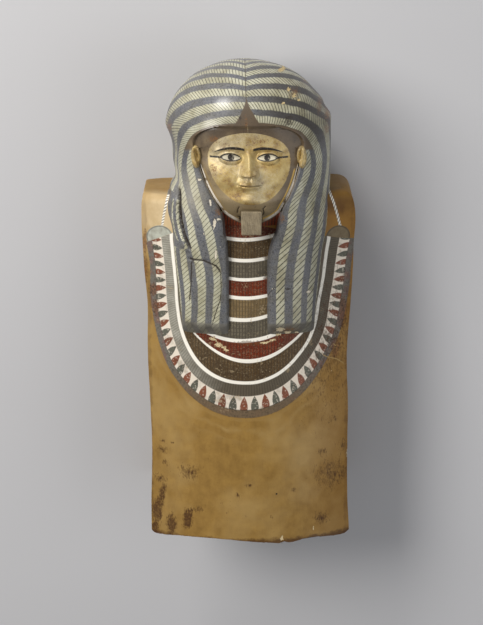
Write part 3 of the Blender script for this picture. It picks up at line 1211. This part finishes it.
def collarColour(shop, x, h, grains):
    use = panelPaint
    middle, fine, speck = grains
    fray, sway = fine - 0.5, middle - 0.5    # for uneven edges, fine and coarse
    share, petals, inset = shop.read("collarAt")
    row = shop.read("rowAt")[0]
    beads = petals * 3.6
    beadLine = shop.under(shop.toNearest(beads + fray * 0.25), 0.16, 0.16)
    rowBeads = shop.under(shop.toNearest(x / use["beadStep"] + fray * 0.22), 0.2, 0.16)
    cross = shop.under(shop.toNearest(row * 5.0), 0.12, 0.2)

    outer = shop.mix(use["outerBand"], use["outerRed"], shop.over(middle, 0.56, 0.12) * 0.6)
    outer = shop.mix(outer, use["outerBrown"], shop.under(h, 240.0, 60.0) * 0.8)
    outer = shop.mix(outer, use["dark"], (beadLine * 0.15) | (shop.over(fine, 0.56, 0.15) * 0.4))

    place = petals + collar["petalShift"]
    across = shop.toNearest(place) * collar["petalSpacing"][0]
    deep = shop.sums("MULTIPLY_ADD", share, 1 / 0.395, -0.195 / 0.395, clamp=True)
    half = use["petalWidth"] * (deep + 0.2) ** 0.5 * (1 - deep)
    drop = shop.over(half - across + fray * 0.8, 0.0, 0.8)
    isRed = shop.over(shop.toNearest((place + 1.0) * 0.5), 0.25, 0.02)
    dropColour = shop.mix(use["petalGrey"], use["petalRed"], isRed)
    dropColour = shop.mix(dropColour, use["petalGround"], shop.over(fine, 0.60, 0.08) * 0.5)
    dropColour = shop.mix(dropColour, use["dark"], shop.over(middle, 0.56, 0.12) * 0.35)
    ground = shop.mix(use["petalGround"], use["outerBand"], shop.over(middle, 0.62, 0.15) * 0.4)
    petalColour = shop.mix(ground, dropColour, drop)

    grey = shop.mix(use["beadPale"], use["beadGrey"], shop.over(x + sway * 40, -72.0, 70.0))
    grey = shop.mix(grey, use["grey"], shop.over(middle, 0.5, 0.3) * 0.4)
    grey = shop.mix(grey, use["dark"], (beadLine * 0.4) | (shop.over(speck, 0.58, 0.1) * 0.35))

    rows = shop.out(shop.node("ShaderNodeValToRGB", {"ramp": "CONSTANT", "stops": (
        (0.0, use["red"]), (0.125, use["brown"]), (0.25, use["grey"]), (0.375, use["red"]), (0.5, use["amber"]),
        (0.625, use["grey"]), (0.75, use["red"]), (0.875, use["brown"]))}, {
        "Fac": shop.sums("MULTIPLY_ADD", row, 0.125, 0.125, clamp=True)}), "Color")
    rows = shop.mix(rows, use["rowPale"], shop.over(speck * 0.6 + fine * 0.4, 0.55, 0.06) * 0.45)
    rows = shop.mix(rows, use["dark"], (rowBeads * 0.55) | (cross * 0.4) | (shop.over(middle, 0.52, 0.15) * 0.45))
    aside = shop.over(abs(x), 88.0, 6.0) & shop.over(h, 322.0, 8.0)
    rows = shop.mix(rows, use["grey"], aside * 0.85)
    lineHalf = use["rowLines"][0] + (use["rowLines"][1] - use["rowLines"][0]) * shop.over(row, 4.6, 0.3)
    lineMask = shop.under(shop.toNearest(row), lineHalf, 0.03) & shop.over(row, -0.3, 0.1) \
        & shop.under(row, 6.4, 0.1) & (1 - aside)
    white = shop.mix(use["white"], use["beadGrey"], shop.over(fine * 0.6 + speck * 0.4, 0.66, 0.08) * 0.6)
    lineMask = lineMask * (1 - 0.8 * (shop.within(row - 1.5, 0.8, 0.1) & shop.over(x + fray * 9, 23.0, 3.0)))
    rows = shop.mix(rows, white, lineMask)

    colour = shop.mix(outer, petalColour, shop.over(share, 0.195, 0.018))
    colour = shop.mix(colour, use["dark"], shop.within(share - 0.195, 0.012, 0.012) * 0.5)
    colour = shop.mix(colour, grey, shop.over(share, 0.59, 0.02))
    colour = shop.mix(colour, white, shop.over(inset, 0.0, 0.8))
    colour = shop.mix(colour, rows, shop.over(inset, use["whiteBand"], 0.8))
    paintEdge = shop.over(share + fray * 0.03, 0.0, 0.02)
    raised = (drop * shop.over(share, 0.195, 0.02) * shop.under(share, 0.59, 0.02)) | lineMask
    return colour, paintEdge, raised


def panelPaintMaterial():
    shop = Shop("panelPaint")
    use = panelPaint
    x, y, z = [axis / mm for axis in shop.split(shop.places)]
    h = y - rimAt
    broad, middle, fine, speck = shop.grain(90, 3), shop.grain(16, 4), shop.grain(3.0, 3), shop.grain(0.9, 2)
    fray, sway = fine - 0.5, middle - 0.5    # for uneven edges, fine and coarse
    brush = shop.grain(18, 3, stretch=(2.4, 0.6, 1.0), twist=1.2)
    pale, rust, dark = shop.read("wornAt")
    over, inside, cord = shop.read("shoulderAt")
    along = shop.read("rowAt")[1]

    share = shop.read("collarAt")[0]
    ochre = shop.mix(use["ochre"], use["ochreDeep"], shop.over(middle * 0.75 + brush * 0.25, 0.5, 0.3))
    ochre = shop.mix(ochre, use["ochrePale"], shop.over(broad, 0.52, 0.2) * 0.5)
    arcs = shop.over(shop.toNearest(share * 4.0 + (broad - 0.5) * 3), 0.34, 0.3) & shop.within(share + 0.25, 0.2, 0.25)
    ochre = shop.mix(ochre, use["ochrePale"], arcs * shop.over(middle, 0.5, 0.3) * 0.5)
    ochre = shop.mix(ochre, use["ochreRight"], shop.over(x + sway * 30, 115.0, 70.0) * 0.7)
    ochre = shop.mix(ochre, use["stain"], shop.over(speck * 0.5 + fine * 0.5, 0.66, 0.06) * 0.5)
    high = shop.over(h + sway * 30, 440.0, 60.0) * shop.over(z + sway * 50, 140.0, 50.0)
    shoulders = shop.mix(use["shoulder"], use["shoulderRight"], shop.over(x, 0.0, 20.0))
    shoulders = shop.mix(shoulders, use["shoulderBrown"], shop.over(h + x * 0.3 + sway * 20, 526.0, 18.0)
                         * shop.over(x, 60.0, 20.0) * 0.85)
    ochre = shop.mix(ochre, shoulders, high * (1 - 0.25 * brush))
    ochre = shop.mix(ochre, use["ochre"], shop.over(h, 505.0, 8.0) * 0.3)

    bands, paintEdge, raised = collarColour(shop, x, h, (middle, fine, speck))
    front = shop.over(z, damage["frontDepth"], 4.0)
    onBands = paintEdge & shop.under(over, 0.0, 0.8) & front
    colour = shop.mix(ochre, bands, onBands)
    domeMask = shop.over(over, 0.0, 0.8) & shop.over(inside, 0.0, 0.8) & front
    domeColour = shop.mix(use["terminal"], use["terminalRight"], shop.over(x, 0.0, 20.0))
    domeColour = shop.mix(domeColour, use["stain"], shop.over(middle, 0.55, 0.2) * 0.4)
    domeRim = domeMask & shop.within(inside - 1.0, 1.0, 0.8)
    colour = shop.mix(colour, shop.mix(domeColour, use["dark"], domeRim * 0.5), domeMask)
    onCord = shop.within(cord, 1.7, 0.8) & front & shop.over(h, 462.0, 2.0) & (1 - domeMask) & (1 - onBands)
    twist = shop.over(shop.toNearest((along * 1.1 + cord * 0.7) / use["twist"]), 0.26, 0.14)
    colour = shop.mix(colour, shop.mix(use["white"], use["dark"], twist * 0.75), onCord)

    # the wig goes on as plain stripes down the back, to a straight edge
    number = shop.read("wigAt")[0]
    backWig = shop.under(z, 30.0, 3.0) & shop.over(h, 430.0, 1.5) & shop.under(abs(x), 112.0, 1.5)
    backStripe = shop.over(shop.toNearest(number) + fray * 0.1, headPaint["yellowShare"], 0.07)
    colour = shop.mix(colour, shop.mix(headPaint["yellowWorn"], headPaint["blueWorn"], backStripe), backWig)

    rim = shop.under(h + sway * 14 + fray * 6, 2.5, 5.0) & front
    colour = shop.mix(colour, use["stain"], rim * 0.8)
    sideWear = shop.over(abs(x - 1.0) + sway * 14, 143.5 + 7 * shop.over(h, 400.0, 60.0), 5.0)
    sideWear = sideWear & front & shop.over(z + sway * 30, 152.0, 26.0)
    colour = shop.mix(colour, use["stain"], sideWear * 0.6)
    rustMask = shop.over(rust + fray * 1.6 + (speck - 0.5), 0.15, 0.3) & front
    colour = shop.mix(colour, shop.mix(use["rust"], use["stain"], shop.over(fine, 0.5, 0.2)), rustMask * 0.6)
    streak = shop.grain(7, 3, stretch=(2.2, 0.7, 1.0), twist=1.5)
    darkMask = shop.over(dark + fray * 0.8 + (streak - 0.5) * 2.2, 0.22, 0.7)
    darkMask = darkMask & front & shop.over(dark, -0.6, 0.4)
    soaked = 0.55 + 0.35 * shop.over(fine * 0.6 + streak * 0.4, 0.46, 0.2)
    colour = shop.mix(colour, use["stain"], darkMask * soaked)
    flake = shop.over(middle * 0.55 + fine * 0.5, 0.64, 0.03) & onBands
    paleMask = (shop.over(pale + fray * 1.9 + sway * 1.0, 0.2, 0.12) & front) | (flake * 0.35)
    colour = shop.mix(colour, shop.mix(use["plaster"], use["rust"], shop.over(fine, 0.58, 0.15) * 0.5), paleMask)
    scratch = shop.within(cord + fray * 1.5, 0.6, 0.7) & front & shop.under(h, 340.0, 5.0)
    colour = shop.mix(colour, use["ochrePale"], scratch * 0.8)
    holeX, holeH = x - damage["hole"][0], h - damage["hole"][1]
    hole = shop.under(holeX * holeX + holeH * holeH, damage["hole"][2] ** 2, 2.0) & front
    colour = shop.mix(colour, use["dark"], hole)

    height = fine * 0.3 + speck * 0.12 + brush * 0.15 + middle * 0.4 + onBands * 0.5 + raised * onBands * 0.35
    height = height - paleMask * 0.8 - hole * 1.5 + (domeMask | onCord) * 0.5
    rough = 0.46 + middle * 0.14 + fine * 0.08 + darkMask * 0.1 + paleMask * 0.2
    coat = 0.04 + 0.12 * shop.over(broad, 0.48, 0.25)
    return shop.finish(colour, rough, height, 0.35, 0.0, coat, 0.28, 0.25)


# Bare inside and cut edges

bare = {
    "plaster": tone(168, 146, 108),
    "plasterDark": tone(118, 96, 62),
    "linen": tone(134, 110, 72),
    "edge": tone(112, 84, 50),
    "edgeDark": tone(62, 44, 26),
    "edgePale": tone(170, 146, 104),
    "threads": 1.4,                          # spacing of the linen's threads
}


def liningMaterial():
    shop = Shop("lining")
    x, y = [axis / mm for axis in shop.split(shop.places)[:2]]
    middle, fine = shop.grain(22, 4), shop.grain(2.0, 3)
    warp = shop.toNearest(x / bare["threads"] + (fine - 0.5) * 0.5)
    weft = shop.toNearest(y / bare["threads"] + (fine - 0.5) * 0.5)
    weave = (warp | weft) * 2.0
    colour = shop.mix(bare["plaster"], bare["linen"], shop.over(middle, 0.5, 0.2))
    colour = shop.mix(colour, bare["plasterDark"], (1 - weave) * 0.4 | shop.over(middle, 0.62, 0.2) * 0.7)
    return shop.finish(colour, 0.82 + fine * 0.1, weave * 0.6 + fine * 0.5 + middle, 0.6)


def rawEdgeMaterial():
    shop = Shop("rawEdge")
    middle, fine = shop.grain(9, 4), shop.grain(1.4, 3)
    layers = shop.grain(1.6, 2, stretch=(0.25, 0.25, 2.4))
    colour = shop.mix(bare["edge"], bare["edgeDark"], shop.over(layers * 0.6 + middle * 0.4, 0.52, 0.2))
    colour = shop.mix(colour, bare["edgePale"], shop.over(fine * 0.5 + middle * 0.5, 0.60, 0.12) * 0.8)
    return shop.finish(colour, 0.85 + fine * 0.1, fine + layers, 0.5)


materials = (wigPaintMaterial(), panelPaintMaterial(), liningMaterial(), rawEdgeMaterial())
for slot, made in enumerate(materials):
    mask.data.materials[slot] = made
mask.data.shade_smooth()
mask.data.set_sharp_from_angle(angle=math.radians(48))
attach(mask, "root")
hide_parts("mask")
print("mask painted")

# Beard: a small square block of painted wood under the chin

beard = {
    "span": (469, 503),
    "width": 29,
    "front": (238, 240),
    "seat": 0.9,                             # clearance behind it
    "rounding": 1.8,
    "wood": tone(154, 140, 112),
    "woodDark": tone(106, 92, 70),
    "woodPale": tone(180, 170, 146),
}


def makeBeard():
    low, high = beard["span"]
    middleH = (low + high) / 2
    half = np.array([beard["width"] / 2, (high - low) / 2, 19.0])
    work = bmesh.new()
    bmesh.ops.create_cube(work, size=2.0)
    bmesh.ops.subdivide_edges(work, edges=work.edges, cuts=27, use_grid_fill=True)
    for vert in work.verts:
        place = np.array(vert.co) * half
        core = np.clip(place, -half + beard["rounding"], half - beard["rounding"])
        out = place - core
        size = np.linalg.norm(out)
        if size > 0:
            place = core + out / size * beard["rounding"]
        x, up, depth = place
        h = middleH + up
        seat = max(float(headFront(np.array([abs(x)]), np.array([h]))[0]), float(panelFront(x))) + beard["seat"]
        front = beard["front"][0] + (beard["front"][1] - beard["front"][0]) * (h - low) / (high - low)
        share = (depth / half[2] + 1) / 2
        z = seat + (front - seat) * share
        wave = 0.35 * noise.noise(Vector((x, h, z)) / 9) * share
        x *= 1.0 - 0.02 * (high - h) / (high - low)
        vert.co = Vector((x + float(lean(middleH)) + wave, h + rimAt + wave, z + wave)) * mm
    mesh = bpy.data.meshes.new("beard")
    work.to_mesh(mesh)
    work.free()
    mesh.shade_smooth()
    mesh.set_sharp_from_angle(angle=math.radians(55))
    piece = bpy.data.objects.new("squareBeard", mesh)
    bpy.context.scene.collection.objects.link(piece)
    return piece


def beardMaterial():
    shop = Shop("paintedWood")
    middle, fine = shop.grain(9, 4), shop.grain(1.5, 3)
    fibre = shop.grain(4, 3, stretch=(3.0, 0.4, 1.5))
    colour = shop.mix(beard["wood"], beard["woodDark"], shop.over(middle * 0.5 + fibre * 0.5, 0.5, 0.3))
    colour = shop.mix(colour, beard["woodPale"], shop.over(fine * 0.6 + middle * 0.4, 0.60, 0.15) * 0.6)
    return shop.finish(colour, 0.5 + fine * 0.15, fibre + fine * 0.6, 0.3, 0.0, 0.1)


block = makeBeard()
block.data.materials.append(beardMaterial())
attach(block, "root")
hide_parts("beard")
print("beard made")

# Floor, light and camera

studio = {
    "floor": tone(196, 196, 198),
    "target": (-9.6, -4.0, 200.0),
    "tilt": 14.0,                            # degrees that the camera stands off the vertical, towards the crown
    "distance": 3200.0,
    "lens": 128.3,
    "key": {"place": (-1800, 1000, 2100), "size": 1500, "power": 54, "colour": (1.0, 0.97, 0.93)},
    "top": {"place": (-820, 2335, 1075), "size": 750, "power": 32, "colour": (1.0, 0.98, 0.96)},
    "fill": {"place": (1900, -400, 1700), "size": 2000, "power": 16, "colour": (0.95, 0.97, 1.0)},
    "sky": (0.84, 0.84, 0.86),
    "skyStrength": 0.26,
}


def makeFloor():
    work = bmesh.new()
    bmesh.ops.create_grid(work, x_segments=8, y_segments=8, size=7.0)
    mesh = bpy.data.meshes.new("floor")
    work.to_mesh(mesh)
    work.free()
    mesh.transform(Matrix.Translation((0, 0, -0.0006)))
    floor = bpy.data.objects.new("floor", mesh)
    bpy.context.scene.collection.objects.link(floor)
    shop = Shop("paper")
    tint = shop.scaled(studio["floor"], 0.985 + 0.03 * shop.grain(300, 2))
    mesh.materials.append(shop.finish(tint, 0.85, shop.grain(1.2, 2), 0.03))


def makeLight(name):
    use = studio[name]
    lamp = bpy.data.lights.new(name, "AREA")
    lamp.shape = "DISK"
    lamp.size = use["size"] * mm
    lamp.energy = use["power"]
    lamp.color = use["colour"]
    holder = bpy.data.objects.new(name, lamp)
    holder.location = Vector(use["place"]) * mm
    holder.rotation_euler = (Vector((0, 0, 0.1)) - holder.location).to_track_quat("-Z", "Y").to_euler()
    bpy.context.scene.collection.objects.link(holder)


def makeSky():
    world = bpy.data.worlds.new("studio")
    world.use_nodes = True
    background = world.node_tree.nodes["Background"]
    background.inputs["Color"].default_value = (*studio["sky"], 1.0)
    background.inputs["Strength"].default_value = studio["skyStrength"]
    bpy.context.scene.world = world


def makeCamera():
    tilt = math.radians(studio["tilt"])
    target = Vector(studio["target"])
    toCamera = Vector((0.0, math.sin(tilt), math.cos(tilt)))
    camera = bpy.data.cameras.new("camera")
    camera.lens = studio["lens"]
    camera.sensor_width = 36.0
    camera.clip_end = 50.0
    holder = bpy.data.objects.new("camera", camera)
    holder.location = (target + toCamera * studio["distance"]) * mm
    holder.rotation_euler = (-tilt, 0.0, 0.0)
    bpy.context.scene.collection.objects.link(holder)
    bpy.context.scene.camera = holder


makeFloor()
for name in ("key", "top", "fill"):
    makeLight(name)
makeSky()
makeCamera()
bpy.context.scene.view_settings.view_transform = "Standard"
print("studio set")
